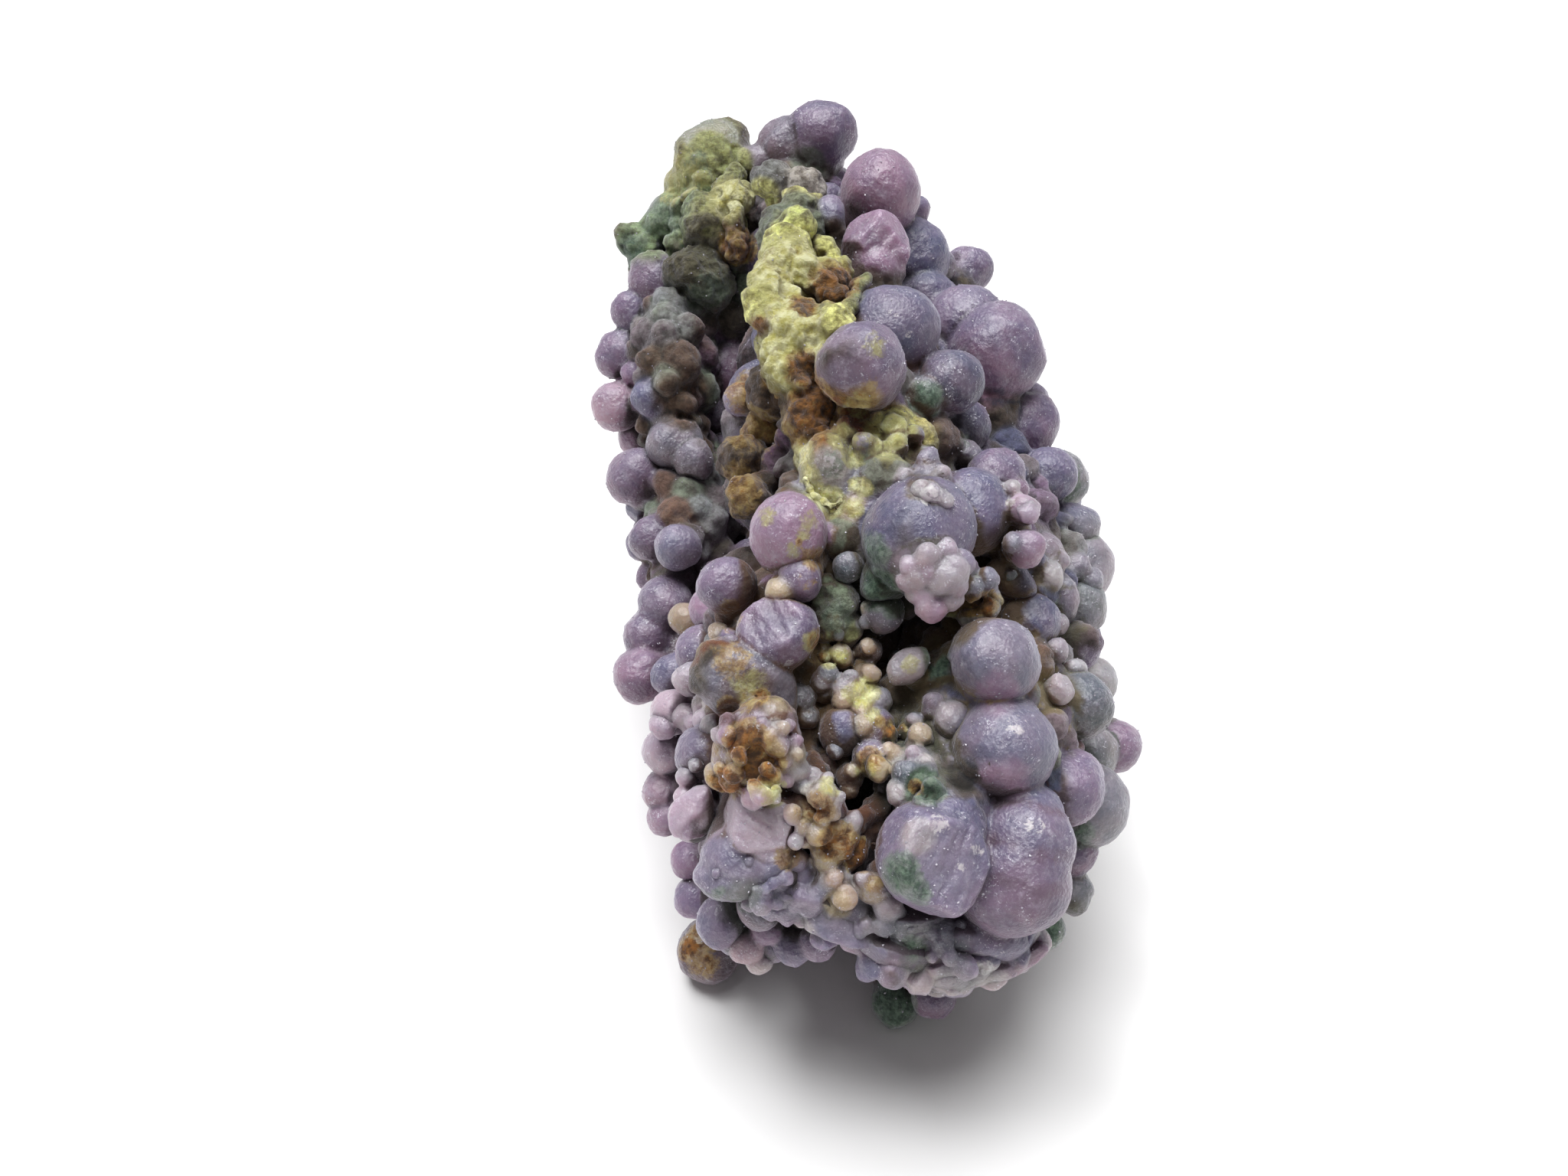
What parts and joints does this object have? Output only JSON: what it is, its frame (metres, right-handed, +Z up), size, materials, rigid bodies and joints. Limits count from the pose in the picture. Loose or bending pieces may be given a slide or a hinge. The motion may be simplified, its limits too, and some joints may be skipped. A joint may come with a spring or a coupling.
{
  "type": "botryoidal chalcedony specimen",
  "caption": "Free-standing mineral specimen of grape-like purple chalcedony, fused spheres on a porous yellow and brown matrix.",
  "frame": {"origin": "on the ground, under the middle of the specimen's box", "axes": "+Y from the overhanging front rim back along the ridge, +X to the right as seen from the front, +Z up"},
  "size_m": [0.0445, 0.0701, 0.0515],
  "materials": {
    "chalcedony": "translucent purple, frosted with fine crystal sugar, stained yellow, rust and green"
  },
  "bodies": {
    "root": {"chalcedony": "chalcedony"}
  },
  "joints": []
}
